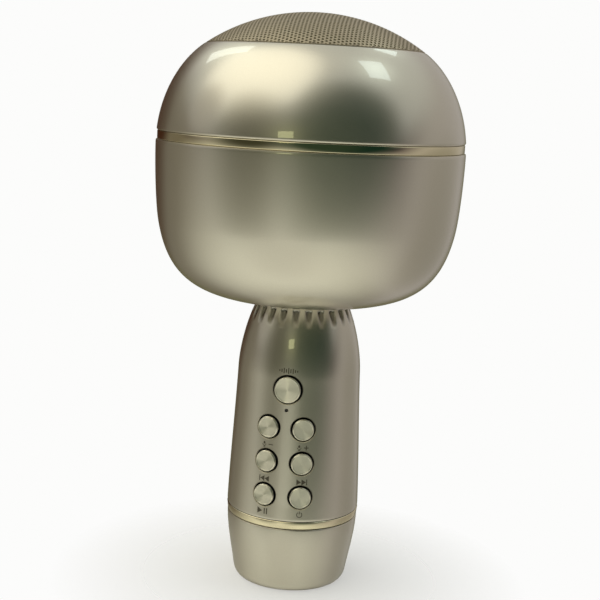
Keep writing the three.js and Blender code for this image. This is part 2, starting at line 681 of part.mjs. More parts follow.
function makeWiring() {
  const speakerRoute = [
    [5, 15.3, 92], [5, 15.3, 98.5], [5, 10.5, 103.2], [4, 6, 108], [4, 5, 121], [13, 7, 129], [28, 9, 138], [33, 10, 150], [30, 9, 163.5],
  ];
  lead("speaker_lead", 1.1, speakerRoute, 20, MATERIALS.redWire);
  const micRoute = [
    [-5, 15.3, 92], [-5, 15.3, 98.5], [-5, 10.5, 103.2], [-4, 6, 108], [-4, 5, 121], [-14, 8, 128], [-34, 12, 134], [-45, 14, 148],
    [...MIC_WIRE_HOLE, 166], [...MIC_WIRE_HOLE, 180], [-43, 15, 191], [-33, 13, 197], [-16, 8, 199], [-4, 3, 199.6],
  ];
  lead("mic_lead", 0.9, micRoute, 32, MATERIALS.greyWire);
  const batteryRoute = [[0, 4, 99.9], [0, 10, 100.8], [0, 14.8, 99.8], [0, 15.7, 95.5], [0, 15.7, 91]];
  lead("battery_lead", 0.9, batteryRoute, 10, MATERIALS.redWire);
}

makeGrille();
makeFoam();
makeUpperShell();
makeHeadRing();
makeLowerShell();
makeMicBridge();
makeCapsule();
makeHeadScrews();
makeBaffle();
makeSpeaker();
makeHandleHalves();
makeTail();
makeButtons();
makeBoards();
makeBattery();
makeWiring();

export default microphone;
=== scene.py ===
"""Karaoke microphone: finished surfaces, materials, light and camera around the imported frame."""

import json
import math

import bmesh
import bpy
import numpy as np
from mathutils import Matrix, Vector


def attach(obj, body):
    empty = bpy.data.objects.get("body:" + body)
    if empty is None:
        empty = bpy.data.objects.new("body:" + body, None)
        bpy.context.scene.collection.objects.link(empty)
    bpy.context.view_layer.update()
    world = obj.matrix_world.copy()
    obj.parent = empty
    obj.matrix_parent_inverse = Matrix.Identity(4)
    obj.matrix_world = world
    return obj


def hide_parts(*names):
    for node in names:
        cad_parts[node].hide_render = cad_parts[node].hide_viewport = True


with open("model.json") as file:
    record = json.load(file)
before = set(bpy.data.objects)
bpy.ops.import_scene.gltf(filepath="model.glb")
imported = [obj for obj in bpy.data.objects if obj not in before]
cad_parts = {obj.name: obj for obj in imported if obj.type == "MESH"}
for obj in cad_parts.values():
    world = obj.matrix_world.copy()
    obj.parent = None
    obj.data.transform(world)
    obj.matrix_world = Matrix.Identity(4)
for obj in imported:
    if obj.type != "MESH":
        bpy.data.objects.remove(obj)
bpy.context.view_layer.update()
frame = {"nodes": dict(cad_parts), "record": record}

MM = 0.001
BODY = "microphone"

# ---------------------------------------------------------------- dimensions, in millimetres

TOTAL_HEIGHT = 232.5
WALL = 2.5
HEAD_RADIUS, HEAD_BOTTOM, WIDEST_Z = 62.0, 117.9, 178.9
GRILLE_RADIUS, GRILLE_SPHERE = 43.3, 75.4
DOME_CENTRE_Z = TOTAL_HEIGHT - GRILLE_SPHERE
HOLE_PITCH, HOLE_RADIUS, SHEET = 1.67, 0.5, 0.7
FOAM_GAP, FOAM_THICKNESS = 0.85, 3
RING_LOW, RING_HIGH, RING_RADIUS, RING_INNER = 180.4, 183.9, 61.45, 59.2
TRIM_ROUND, TRIM_GAP = 0.4, 0.08
SEAT_RADIUS, SEAT_BOTTOM, SEAT_TOP = 45.5, 213.2, 215.8
SKIRT_OUTER, SKIRT_INNER, SKIRT_END = 58.8, 56.9, 177.4
LEDGE_RADIUS, LEDGE_Z, REBATE_RADIUS = 53.5, 171.7, 59.1
HANDLE_TOP, HANDLE_BOTTOM = 117.5, 31.7
NECK_RADIUS, NECK_BORE = 15.4, 12.6
COLLAR_RADIUS, COLLAR_TOP, COLLAR_END = 18, 107.4, 104.6
BARREL_TOP = 106
FLUTES, FLUTE_PHASE = 24, math.radians(2.5)
FLUTE_TOP, FLUTE_END, FLUTE_WIDTH, FLUTE_DEPTH = 116.3, 109.0, 3.2, 1.25
FLUTE_START, FLUTE_FALL = 1.2, 1.3
LOWER_RING = {"radius": 27.35, "low": 28.3, "high": 31.45, "inner": 22.6, "taper": 0.3}
LOWER_RING_SLEEVE, LOWER_RING_TOP = 24.3, 36.2
COLUMN_ANGLE = math.radians(15.8)
LARGE = {"hole": 5.85, "cap": 5.2, "flange": 6.5, "drop": 3.6}
SMALL = {"hole": 4.9, "cap": 4.25, "flange": 5.4, "drop": 3.4}
BUTTONS = {
    "effect": (0.0, 85.1, LARGE),
    "mic_down": (-COLUMN_ANGLE, 69.4, SMALL),
    "mic_up": (COLUMN_ANGLE, 69.4, SMALL),
    "previous": (-COLUMN_ANGLE, 55.55, SMALL),
    "next": (COLUMN_ANGLE, 55.55, SMALL),
    "play": (-COLUMN_ANGLE, 41.7, SMALL),
    "power": (COLUMN_ANGLE, 41.7, SMALL),
}
BUTTON_PROUD, BUTTON_FLANGE, STEM_RADIUS, STEM_END = 0.8, 0.9, 1.5, 18.2
METAL_RIM = 1.0
PAINT_EDGE = 0.4
LIGHT_Z = 76.8
SCREWS = [(x, z) for z in (40, 98) for x in (-17.5, 17.5)]
WELL_Y, WELL_RADIUS, WELL_WALL = 8, 3.0, 0.4
USB_Z, JACK_Z, CARD_Z = 44, 54.5, 64
USB_HOLE, JACK_HOLE, CARD_HOLE = (8.8, 3.8), 3.2, (12.4, 1.8)
CUT_FROM, CUT_TO = 18, 30
SOCKET_BACK = 18.65
INK_HEIGHT = 0.04

# ---------------------------------------------------------------- camera

CAMERA_AZIMUTH = 9.42
SENSOR, LENS = 36, 74.172


def make_camera():
    turn, yaw, pitch, roll = (math.radians(a) for a in (CAMERA_AZIMUTH, -0.13, 9.58, 2.96))
    distance, height = 0.5002, 0.2016
    facing = Vector((math.sin(yaw) * math.cos(pitch), math.cos(yaw) * math.cos(pitch), -math.sin(pitch)))
    level = Vector((math.cos(yaw), -math.sin(yaw), 0))
    above = level.cross(facing)
    right = math.cos(roll) * level + math.sin(roll) * above
    up = -math.sin(roll) * level + math.cos(roll) * above
    pose = Matrix((right, up, -facing)).transposed().to_4x4()
    pose.translation = (0, -distance, height)
    data = bpy.data.cameras.new("camera")
    data.sensor_width = SENSOR
    data.lens = LENS
    camera = bpy.data.objects.new("camera", data)
    bpy.context.collection.objects.link(camera)
    camera.matrix_world = Matrix.Rotation(turn, 4, "Z") @ pose
    bpy.context.scene.camera = camera


make_camera()

# ---------------------------------------------------------------- material helpers


class Material:
    """A node material with one Principled shader, and short ways to add nodes to it."""

    def __init__(self, name, color, **sockets):
        self.material = bpy.data.materials.new(name)
        self.material.use_nodes = True
        self.tree = self.material.node_tree
        self.shader = self.tree.nodes["Principled BSDF"]
        self.shader.inputs["Base Color"].default_value = (*color, 1)
        for key, value in sockets.items():
            socket = key.replace("_", " ").title().replace("Ior", "IOR")
            self.shader.inputs[socket].default_value = value
        self.coords = None

    def node(self, kind, links=(), **values):
        """Adds a node. Values are its own settings, or else its sockets, with _ for a space."""
        made = self.tree.nodes.new("ShaderNode" + kind)
        for key, value in values.items():
            if hasattr(made, key):
                setattr(made, key, value)
            else:
                made.inputs[key.replace("_", " ")].default_value = value
        for target, source in dict(links).items():
            self.tree.links.new(source, made.inputs[target])
        return made

    def link(self, source, target):
        self.tree.links.new(source, self.shader.inputs[target])

    def position(self, stretch=(1, 1, 1)):
        if self.coords is None:
            self.coords = self.node("TexCoord").outputs["Object"]
        if stretch == (1, 1, 1):
            return self.coords
        return self.node("Mapping", {"Vector": self.coords}, Scale=stretch).outputs["Vector"]

    def noise(self, scale, detail=2.0, roughness=0.5, stretch=(1, 1, 1)):
        links = {"Vector": self.position(stretch)}
        return self.node("TexNoise", links, Scale=scale, Detail=detail, Roughness=roughness).outputs["Fac"]

    def spread(self, value, low, high, start=0.0, end=1.0):
        """Maps a value from start..end to low..high."""
        links = {"Value": value}
        made = self.node("MapRange", links, From_Min=start, From_Max=end, To_Min=low, To_Max=high)
        return made.outputs["Result"]

    def blend(self, factor, first, second):
        made = self.node("Mix", data_type="RGBA")
        self.tree.links.new(factor, made.inputs[0])
        for socket, value in ((made.inputs[6], first), (made.inputs[7], second)):
            if isinstance(value, bpy.types.NodeSocket):
                self.tree.links.new(value, socket)
            else:
                socket.default_value = (*value, 1)
        return made.outputs[2]

    def bump(self, height, strength, distance, target="Normal"):
        made = self.node("Bump", {"Height": height}, Strength=strength, Distance=distance)
        self.link(made.outputs["Normal"], target)


def srgb(*channels):
    """A linear colour from three display values of 0 to 255."""
    return tuple(((c / 255 + 0.055) / 1.055) ** 2.4 if c > 10 else c / 255 / 12.92 for c in channels)


def shade(color, factor):
    return tuple(min(1.0, c * factor) for c in color)


# ---------------------------------------------------------------- materials


def pearl_paint(name="champagne_paint"):
    """Metallic paint with fine flakes under a clear gloss coat, and painted shade that darkens it deep in
    the flutes.
    """
    color = srgb(203, 198, 182)
    coat = {"coat_weight": 1.0, "coat_roughness": 0.02, "coat_ior": 2.0}
    made = Material(name, color, metallic=0.95, roughness=0.34, **coat)
    flake = made.node("TexVoronoi", {"Vector": made.position()}, Scale=5200)
    drift = made.noise(45, 3)
    tone = made.blend(made.spread(drift, 0.2, 0.8), shade(color, 0.97), shade(srgb(206, 198, 180), 1.02))
    sparkle = made.node("SeparateColor", {"Color": flake.outputs["Color"]}).outputs["Red"]
    flaked = made.blend(made.spread(sparkle, 0.0, 0.22), tone, shade(color, 1.25))
    painted_groove_shade = made.node("Attribute", attribute_name="painted_groove_shade").outputs["Fac"]
    # painted shade: deep in the flutes the base colour blends to a dark olive, standing in for the shade
    # that falls there
    made.link(made.blend(painted_groove_shade, flaked, shade(srgb(126, 118, 74), 0.38)), "Base Color")
    made.link(made.spread(made.noise(90, 4, 0.6), 0.32, 0.36), "Roughness")
    made.bump(sparkle, 0.06, 0.00004)
    made.bump(made.noise(160, 2), 0.02, 0.0002, target="Coat Normal")
    return made.material


def gold_plate(name="gold_trim"):
    color = srgb(232, 222, 190)
    made = Material(name, color, metallic=1.0, roughness=0.08)
    made.link(made.blend(made.noise(60, 3), shade(color, 0.94), shade(color, 1.04)), "Base Color")
    lines = made.noise(900, 2, 0.6, stretch=(0.02, 0.02, 1))
    made.link(made.spread(lines, 0.06, 0.12), "Roughness")
    made.bump(lines, 0.05, 0.00002)
    return made.material


def grille_metal(name="grille_metal"):
    color = srgb(182, 169, 144)
    made = Material(name, color, metallic=0.85, roughness=0.4)
    made.link(made.blend(made.noise(130, 3), shade(color, 0.9), shade(color, 1.08)), "Base Color")
    made.link(made.spread(made.noise(700, 3), 0.34, 0.46), "Roughness")
    made.bump(made.noise(2500, 2), 0.1, 0.00003)
    return made.material


def spun_metal(name="button_metal"):
    """Metal turned on a lathe: fine rings about the local Z axis, with the streaks of light across them."""
    color = srgb(245, 241, 222)
    made = Material(name, color, metallic=1.0, roughness=0.36, anisotropic=0.97, anisotropic_rotation=0.25)
    tangent = made.node("Tangent", direction_type="RADIAL", axis="Z")
    made.link(tangent.outputs["Tangent"], "Tangent")
    axes = made.node("SeparateXYZ", {"Vector": made.position()})
    squares = [
        made.node("Math", {0: axes.outputs[axis], 1: axes.outputs[axis]}, operation="MULTIPLY").outputs[0]
        for axis in ("X", "Y")
    ]
    total = made.node("Math", {0: squares[0], 1: squares[1]}, operation="ADD").outputs[0]
    radius = made.node("Math", {0: total}, operation="SQRT").outputs[0]
    rings = made.node("TexNoise", {"W": radius}, noise_dimensions="1D", Scale=5200.0, Detail=3.0)
    rings = rings.outputs["Fac"]
    made.link(made.blend(rings, shade(color, 0.82), shade(color, 1.08)), "Base Color")
    made.link(made.spread(rings, 0.31, 0.41), "Roughness")
    made.bump(rings, 0.15, 0.00001)
    return made.material


def moulded(name, color, roughness=0.55, grain=1400, depth=0.00003, **sockets):
    made = Material(name, color, roughness=roughness, **sockets)
    made.link(made.blend(made.noise(80, 3), shade(color, 0.88), shade(color, 1.12)), "Base Color")
    made.link(made.spread(made.noise(240, 3), roughness - 0.06, roughness + 0.06), "Roughness")
    made.bump(made.noise(grain, 3, 0.6), 0.3, depth)
    return made.material


def brushed(name, color, roughness=0.3, stretch=(1, 1, 0.03)):
    made = Material(name, color, metallic=1.0, roughness=roughness)
    lines = made.noise(2600, 3, 0.6, stretch=stretch)
    made.link(made.blend(lines, shade(color, 0.8), shade(color, 1.1)), "Base Color")
    made.link(made.spread(lines, roughness - 0.08, roughness + 0.1), "Roughness")
    made.bump(lines, 0.15, 0.00002)
    return made.material


def open_foam(name="foam"):
    color = srgb(52, 44, 34)
    made = Material(name, color, roughness=0.95)
    cells = made.node("TexVoronoi", {"Vector": made.position()}, Scale=1500.0)
    made.link(made.blend(cells.outputs["Distance"], shade(color, 0.35), shade(color, 1.5)), "Base Color")
    made.bump(cells.outputs["Distance"], 0.8, 0.0003)
    return made.material


def circuit_board(name="circuit_board"):
    color = srgb(26, 92, 58)
    made = Material(name, color, roughness=0.4, coat_weight=0.4, coat_roughness=0.2)
    layout = {"Scale": 260.0, "Mortar_Size": 0.03, "Brick_Width": 0.9, "Row_Height": 0.5}
    tracks = made.node("TexBrick", {"Vector": made.position()}, **layout)
    made.link(made.blend(tracks.outputs["Fac"], color, shade(color, 1.9)), "Base Color")
    made.link(made.spread(made.noise(500, 2), 0.34, 0.46), "Roughness")
    made.bump(tracks.outputs["Fac"], 0.3, 0.00003)
    return made.material


def wound_wire(name="copper_wire"):
    color = srgb(190, 118, 66)
    made = Material(name, color, metallic=1.0, roughness=0.3)
    wave = {"bands_direction": "Z", "Scale": 1500.0, "Distortion": 0.4}
    turns = made.node("TexWave", {"Vector": made.position()}, **wave)
    made.link(made.blend(turns.outputs["Fac"], shade(color, 0.5), shade(color, 1.15)), "Base Color")
    made.link(made.spread(made.noise(900), 0.25, 0.4), "Roughness")
    made.bump(turns.outputs["Fac"], 0.7, 0.0002)
    return made.material


def smoked_clear(name="clear_plastic"):
    color = srgb(38, 36, 32)
    made = Material(name, color, roughness=0.12, transmission_weight=0.25, ior=1.49)
    made.link(made.blend(made.noise(300, 2), shade(color, 0.8), shade(color, 1.3)), "Base Color")
    made.bump(made.noise(900), 0.05, 0.00002)
    return made.material


FINISHES = {
    "champagne_paint": pearl_paint(),
    "gold_trim": gold_plate(),
    "grille_metal": grille_metal(),
    "foam": open_foam(),
    "button_metal": spun_metal(),
    "steel": brushed("steel", srgb(188, 186, 182)),
    "ferrite": moulded("ferrite", srgb(58, 58, 62), 0.5, 3000),
    "black_plastic": moulded("black_plastic", srgb(26, 26, 27), 0.5),
    "white_plastic": moulded("white_plastic", srgb(222, 219, 210), 0.45),
    "rubber": moulded("rubber", srgb(24, 24, 24), 0.8, 2200, 0.00005),
    "paper": moulded("paper", srgb(44, 40, 37), 0.9, 900, 0.0001),
    "copper_wire": wound_wire(),
    "circuit_board": circuit_board(),
    "cell_wrap": moulded("cell_wrap", srgb(52, 108, 170), 0.3, 500),
    "clear_plastic": smoked_clear(),
    "red_wire": moulded("red_wire", srgb(160, 30, 30), 0.4),
    "grey_wire": moulded("grey_wire", srgb(96, 96, 98), 0.4),
}
INK = moulded("label_ink", srgb(84, 78, 64), 0.5, 2500)

for entry in frame["record"]["subparts"]:
    slots = frame["nodes"][entry["node"]].data.materials
    slots.clear()
    slots.append(FINISHES[entry["material_slot"]])

# ---------------------------------------------------------------- mesh helpers


def bezier(points, steps):
    """Points along a cubic curve from the first to the last of four [radius, height] pairs."""
    t = np.linspace(0, 1, steps + 1)[:, None]
    a, b, c, d = (np.array(p, float) for p in points)
    return (1 - t) ** 3 * a + 3 * (1 - t) ** 2 * t * b + 3 * (1 - t) * t**2 * c + t**3 * d


def arc(centre, radius, start, end, steps=4):
    """Points of a round from one angle to another, in degrees, as [radius, height] pairs."""
    angles = np.radians(np.linspace(start, end, steps + 1))
    return [[centre[0] + radius * math.cos(a), centre[1] + radius * math.sin(a)] for a in angles]


def smooth(mesh, sharp):
    """Shades a mesh smooth, with sharp edges above an angle in degrees."""
    mesh.shade_smooth()
    mesh.set_sharp_from_angle(angle=math.radians(sharp))


def add_mesh(name, vertices, faces, finish, body=BODY, replaces=(), slot=None, sharp=35, matrix=None):
    """Makes a piece from vertices in millimetres and lets it ride on a body."""
    mesh = bpy.data.meshes.new(name)
    mesh.from_pydata((np.asarray(vertices, float) * MM).tolist(), [], faces)
    mesh.validate()
    work = bmesh.new()
    work.from_mesh(mesh)
    bmesh.ops.recalc_face_normals(work, faces=work.faces)
    work.to_mesh(mesh)
    work.free()
    mesh.materials.append(finish)
    smooth(mesh, sharp)
    piece = bpy.data.objects.new(name, mesh)
    bpy.context.collection.objects.link(piece)
    if matrix is not None:
        piece.matrix_world = matrix
    if body:
        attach(piece, body)
    if replaces:
        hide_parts(*replaces)
    return piece


def full_turn(steps):
    return np.linspace(0, 2 * math.pi, steps, endpoint=False)


def lathe_data(outline, segments=192):
    """Vertices and faces of a solid of revolution about Z. Points on the axis become single vertices."""
    angles = full_turn(segments)
    on_axis = 1e-6
    closed = outline[0][0] > on_axis or outline[-1][0] > on_axis
    vertices, rows, faces = [], [], []
    for radius, height in outline:
        if radius < on_axis:
            rows.append([len(vertices)] * segments)
            vertices.append((0, 0, height))
        else:
            rows.append(list(range(len(vertices), len(vertices) + segments)))
            vertices.extend((radius * math.sin(a), -radius * math.cos(a), height) for a in angles)
    pairs = list(zip(rows, rows[1:] + rows[:1] if closed else rows[1:]))
    for low, high in pairs:
        for i in range(segments):
            j = (i + 1) % segments
            loop = list(dict.fromkeys((low[i], low[j], high[j], high[i])))
            if len(loop) > 2:
                faces.append(loop)
    return vertices, faces


def lathe(name, outline, finish, segments=192, **options):
    return add_mesh(name, *lathe_data(outline, segments), finish, **options)


def apply_modifiers(piece):
    """Bakes a piece's modifiers into its mesh."""
    graph = bpy.context.evaluated_depsgraph_get()
    baked = bpy.data.meshes.new_from_object(piece.evaluated_get(graph))
    piece.modifiers.clear()
    piece.data = baked


def cut_away(piece, cutters):
    """Subtracts each cutter from a piece. Each cutter is (vertices, faces) in millimetres."""
    vertices, faces = [], []
    for points, loops in cutters:
        offset = len(vertices)
        vertices.extend(points)
        faces.extend([[i + offset for i in loop] for loop in loops])
    cutter = add_mesh("cutter", vertices, faces, FINISHES["black_plastic"], body=None)
    modifier = piece.modifiers.new("cut", "BOOLEAN")
    modifier.object = cutter
    modifier.operation = "DIFFERENCE"
    modifier.solver = "EXACT"
    apply_modifiers(piece)
    bpy.data.objects.remove(cutter)


def tube_faces(count, levels=2):
    """Faces of a closed tube whose vertices lie in levels of equal count, from one end to the other."""
    faces = []
    for level in range(levels - 1):
        a, b = level * count, (level + 1) * count
        for i in range(count):
            j = (i + 1) % count
            faces.append([a + i, a + j, b + j, b + i])
    faces.append(list(range(count))[::-1])
    faces.append(list(range((levels - 1) * count, levels * count)))
    return faces


# ---------------------------------------------------------------- outlines

shoulder = bezier([[43.75, 218.55], [54.5, 210.95], [HEAD_RADIUS, 195.6], [HEAD_RADIUS, WIDEST_Z]], 64)
side = bezier([[HEAD_RADIUS, WIDEST_Z], [HEAD_RADIUS, 169.4], [61.2, 153.9], [59.85, 147.4]], 24)
bowl = bezier([[59.85, 147.4], [55.75, 127.1], [45.5, HEAD_BOTTOM], [18, HEAD_BOTTOM]], 60)
grip = bezier([[27.35, HANDLE_BOTTOM], [27, 50], [25.6, 72], [25.15, 89]], 200)
neck = bezier([[25.15, 89], [24.9, 98], [22.2, 109.2], [18.3, HANDLE_TOP]], 200)
handle_line = np.concatenate([grip, neck[1:]])


def handle_radius(z):
    return np.interp(z, handle_line[:, 1], handle_line[:, 0])


def inset(line, distance):
    """A line of [radius, height] points moved inwards by a distance."""
    line = np.asarray(line, float)
    step = np.gradient(line, axis=0)
    length = np.hypot(step[:, 0], step[:, 1])
    inwards = np.stack([-np.abs(step[:, 1]), np.sign(step[:, 1]) * step[:, 0]], 1) / length[:, None]
    return line + inwards * distance


# ---------------------------------------------------------------- head


def make_shells():
    """The two halves of the head. The skirt of the upper one nests in the rim of the lower one."""
    paint = FINISHES["champagne_paint"]
    outside = shoulder[shoulder[:, 1] > RING_HIGH + 0.7]
    edge = float(np.interp(RING_HIGH + 0.6, shoulder[::-1, 1], shoulder[::-1, 0]))
    inside = inset(shoulder, WALL)
    inside = inside[(inside[:, 1] < 209) & (inside[:, 1] > 190)]
    upper = [
        *arc((GRILLE_RADIUS + 0.65, 218.2), 0.35, 180, 125),
        *outside[1:].tolist(),
        [edge, RING_HIGH + 0.6],
        [edge - 0.14, RING_HIGH + 0.3],
        [edge - 0.5, RING_HIGH + 0.02],
        [SKIRT_OUTER + 0.5, RING_HIGH],
        [SKIRT_OUTER, RING_HIGH],
        [SKIRT_OUTER, SKIRT_END],
        [SKIRT_INNER, SKIRT_END],
        [SKIRT_INNER, 187.5],
        *inside[::-1].tolist(),
        [SEAT_RADIUS, SEAT_BOTTOM],
        [SEAT_RADIUS, SEAT_TOP],
        [GRILLE_RADIUS + 0.3, SEAT_TOP],
    ]
    lathe("upper_shell", upper, paint, 256, replaces=["head_upper_shell"], slot="champagne_paint")

    wall = np.concatenate([shoulder[shoulder[:, 1] < RING_LOW - 0.5], side[1:], bowl[1:]])
    rim = float(wall[0][0])
    within = inset(np.concatenate([side, bowl[1:]]), WALL)
    within = within[(within[:, 1] < 160) & (within[:, 1] > HEAD_BOTTOM + 2.7)]
    lower = [
        [rim - 0.55, RING_LOW],
        [rim - 0.16, RING_LOW - 0.16],
        *wall.tolist(),
        [NECK_RADIUS, HEAD_BOTTOM],
        [NECK_RADIUS, COLLAR_TOP],
        [COLLAR_RADIUS, COLLAR_TOP],
        [COLLAR_RADIUS, COLLAR_END],
        [NECK_BORE, COLLAR_END],
        [NECK_BORE, HEAD_BOTTOM + WALL],
        *within[::-1].tolist(),
        [LEDGE_RADIUS, 168],
        [LEDGE_RADIUS, LEDGE_Z],
        [REBATE_RADIUS, LEDGE_Z],
        [REBATE_RADIUS, RING_LOW],
    ]
    lathe("lower_shell", lower, paint, 256, replaces=["head_lower_shell"], slot="champagne_paint")


def trim_ring(name, radius, low, high, inner, replaces, sleeve=(), taper=0.0):
    """A plated band with rounded edges, narrower at the bottom by its taper, on a sleeve if it has one."""
    outline = [
        [inner, low],
        *arc((radius - taper - TRIM_ROUND, low + TRIM_ROUND), TRIM_ROUND, -90, 0),
        *arc((radius - TRIM_ROUND, high - TRIM_ROUND), TRIM_ROUND, 0, 90),
        *sleeve,
        [inner, sleeve[-1][1] if sleeve else high],
    ]
    lathe(name, outline, FINISHES["gold_trim"], 256, replaces=replaces, slot="gold_trim")


def make_grille():
    """A domed sheet of hexagonal cells, each with a round hole. Cells at the rim are cut off by it."""
    corners = 12
    turn = math.radians(4.5)
    half = int(GRILLE_RADIUS / HOLE_PITCH * 1.3) + 2
    outer_points, order = {}, []
    vertices, faces = [], []

    def dome(x, y, depth):
        radius = math.hypot(x, y)
        limit = GRILLE_RADIUS - depth
        if radius > limit:
            x, y, radius = x * limit / radius, y * limit / radius, limit
        return x, y, DOME_CENTRE_Z + math.sqrt((GRILLE_SPHERE - depth) ** 2 - radius**2)

    centres = []
    for row in range(-half, half + 1):
        for column in range(-half, half + 1):
            u, v = HOLE_PITCH * math.sqrt(3) / 2 * column, HOLE_PITCH * (row + (column % 2) / 2)
            x, y = u * math.cos(turn) - v * math.sin(turn), u * math.sin(turn) + v * math.cos(turn)
            if math.hypot(x, y) < GRILLE_RADIUS + 0.15:
                centres.append((x, y))
    for depth in (0.0, SHEET):
        for x, y in centres:
            inner = []
            for i in range(corners):
                a = turn + i * 2 * math.pi / corners
                inner.append(len(vertices))
                vertices.append(dome(x + HOLE_RADIUS * math.cos(a), y + HOLE_RADIUS * math.sin(a), depth))
            outer = []
            for i in range(corners):
                a = turn + i * 2 * math.pi / corners
                reach = HOLE_PITCH / math.sqrt(3) if i % 2 == 0 else HOLE_PITCH / 2
                px, py = x + reach * math.cos(a), y + reach * math.sin(a)
                key = (round(px, 3), round(py, 3), depth)
                if key not in outer_points:
                    outer_points[key] = len(vertices)
                    vertices.append(dome(px, py, depth))
                outer.append(outer_points[key])
            order.append(inner)
            for i in range(corners):
                j = (i + 1) % corners
                loop = [outer[i], outer[j], inner[j], inner[i]]
                faces.append(loop if depth == 0.0 else loop[::-1])
    for top, under in zip(order[: len(centres)], order[len(centres) :]):
        for i in range(corners):
            j = (i + 1) % corners
            faces.append([top[i], top[j], under[j], under[i]])
    add_mesh(
        "perforated_dome", vertices, faces, FINISHES["grille_metal"], replaces=["grille_dome"],
        slot="grille_metal", sharp=50,
    )
    edge_z = DOME_CENTRE_Z + math.sqrt(GRILLE_SPHERE**2 - GRILLE_RADIUS**2)
    flange, flange_top = SEAT_RADIUS - 0.3, SEAT_TOP - 0.3
    skirt = [
        [GRILLE_RADIUS - 0.75, edge_z - 0.1],
        [GRILLE_RADIUS - 0.3, edge_z + 0.12],
        [GRILLE_RADIUS, edge_z - 0.02],
        [GRILLE_RADIUS, flange_top],
        [flange, flange_top],
        [flange, flange_top - 0.8],
        [GRILLE_RADIUS - 0.8, flange_top - 0.8],
    ]
    lathe("grille_skirt", skirt, FINISHES["grille_metal"], 256, slot="grille_metal")


def make_foam():
    """The foam that lines the grille, with the small unevenness of its cells."""
    rng = np.random.default_rng(7)
    grain, most = 0.05, 0.12
    outer, rim = GRILLE_SPHERE - SHEET - FOAM_GAP, GRILLE_RADIUS - 1.5
    angles = np.linspace(0, math.asin(rim / outer), 40)

    def layer(radius):
        return [[radius * math.sin(a), DOME_CENTRE_Z + radius * math.cos(a)] for a in angles]

    vertices, faces = lathe_data([*layer(outer), *layer(outer - FOAM_THICKNESS)[::-1]], 160)
    vertices = np.array(vertices)
    vertices += np.clip(rng.normal(0, grain, vertices.shape), -most, most)
    foam = add_mesh(
        "foam_lining", vertices, faces, FINISHES["foam"], replaces=["foam_windscreen"], slot="foam",
        sharp=70,
    )


# ---------------------------------------------------------------- handle


def fluted(angles, heights, radii):
    """Radius of the handle's surface with its flutes, deepest under the rim and running out below it."""
    pitch = 2 * math.pi / FLUTES
    across = ((angles - FLUTE_PHASE + pitch / 2) % pitch - pitch / 2) * radii
    run = np.clip((FLUTE_TOP - heights) / (FLUTE_TOP - FLUTE_END), 0, 1)
    start = np.clip((FLUTE_TOP - heights) / FLUTE_START, 0, 1)
    section = np.clip(1 - (across / (FLUTE_WIDTH / 2)) ** 2, 0, 1) ** FLUTE_FALL
    return radii - FLUTE_DEPTH * section * start**2 * (3 - 2 * start) * (1 - run) ** FLUTE_FALL


def half_shell(name, sign, cutters):
    """The front (sign -1) or rear (sign +1) half of the handle, with the flutes in its neck."""
    fine_from = 104
    barrel_rows = np.linspace(HANDLE_BOTTOM, fine_from, 76)
    neck_rows = np.linspace(fine_from + 0.15, HANDLE_TOP - 0.35, 88)
    rim_rows = [HANDLE_TOP - 0.2, HANDLE_TOP - 0.08, HANDLE_TOP]
    heights = np.concatenate([barrel_rows, neck_rows, rim_rows])
    rounding = np.zeros(len(heights))
    rounding[-3:] = [0.03, 0.12, 0.35]
    rounding[0] = 0.2
    columns = 288
    half_gap, edge_round = 0.12, 0.08
    angles = np.linspace(-90, 90, columns + 1)
    angle_grid, height_grid = np.meshgrid(np.radians(angles), heights)
    surface = handle_radius(height_grid) - rounding[:, None]
    direction = angle_grid if sign < 0 else angle_grid + math.pi
    outer = fluted(direction, height_grid, surface)
    bore = np.where(heights < COLLAR_TOP + 0.3, handle_radius(heights) - WALL, NECK_RADIUS + 0.4)
    inner = np.repeat(bore[:, None], columns + 1, 1)

    def points(radius):
        x = radius * np.sin(angle_grid)
        y = np.maximum(radius * np.cos(angle_grid), half_gap) * sign
        return np.stack([x * (-sign), y, height_grid], -1)

    edges = (0, columns)
    outer_points = points(outer)
    for edge in edges:
        outer_points[:, edge, 0] -= np.sign(outer_points[:, edge, 0]) * edge_round
    rows, cols = outer.shape
    vertices = np.concatenate([outer_points.reshape(-1, 3), points(inner).reshape(-1, 3)])
    count = rows * cols

    def at(layer, i, j):
        return layer * count + i * cols + j

    faces = []
    for i in range(rows - 1):
        for j in range(cols - 1):
            faces.append([at(0, i, j), at(0, i, j + 1), at(0, i + 1, j + 1), at(0, i + 1, j)])
            faces.append([at(1, i, j), at(1, i + 1, j), at(1, i + 1, j + 1), at(1, i, j + 1)])
        for j in edges:
            faces.append([at(0, i, j), at(0, i + 1, j), at(1, i + 1, j), at(1, i, j)])
    for i in (0, rows - 1):
        for j in range(cols - 1):
            faces.append([at(0, i, j), at(0, i, j + 1), at(1, i, j + 1), at(1, i, j)])
    piece = add_mesh(name, vertices, faces, FINISHES["champagne_paint"], slot="champagne_paint")
    cut_away(piece, cutters)
    leave_inside_unpainted(piece.data)
    smooth_outside(piece.data)
    mark_painted_groove_shade(piece.data)
    return piece


def leave_inside_unpainted(mesh):
    """Gives the faces inside the barrel, and deep in its holes, the dark plastic of the moulding."""
    mesh.materials.append(FINISHES["black_plastic"])
    for face in mesh.polygons:
        centre = face.center / MM
        painted = handle_radius(centre.z) - PAINT_EDGE
        if centre.z < BARREL_TOP and math.hypot(centre.x, centre.y) < painted:
            face.material_index = 1


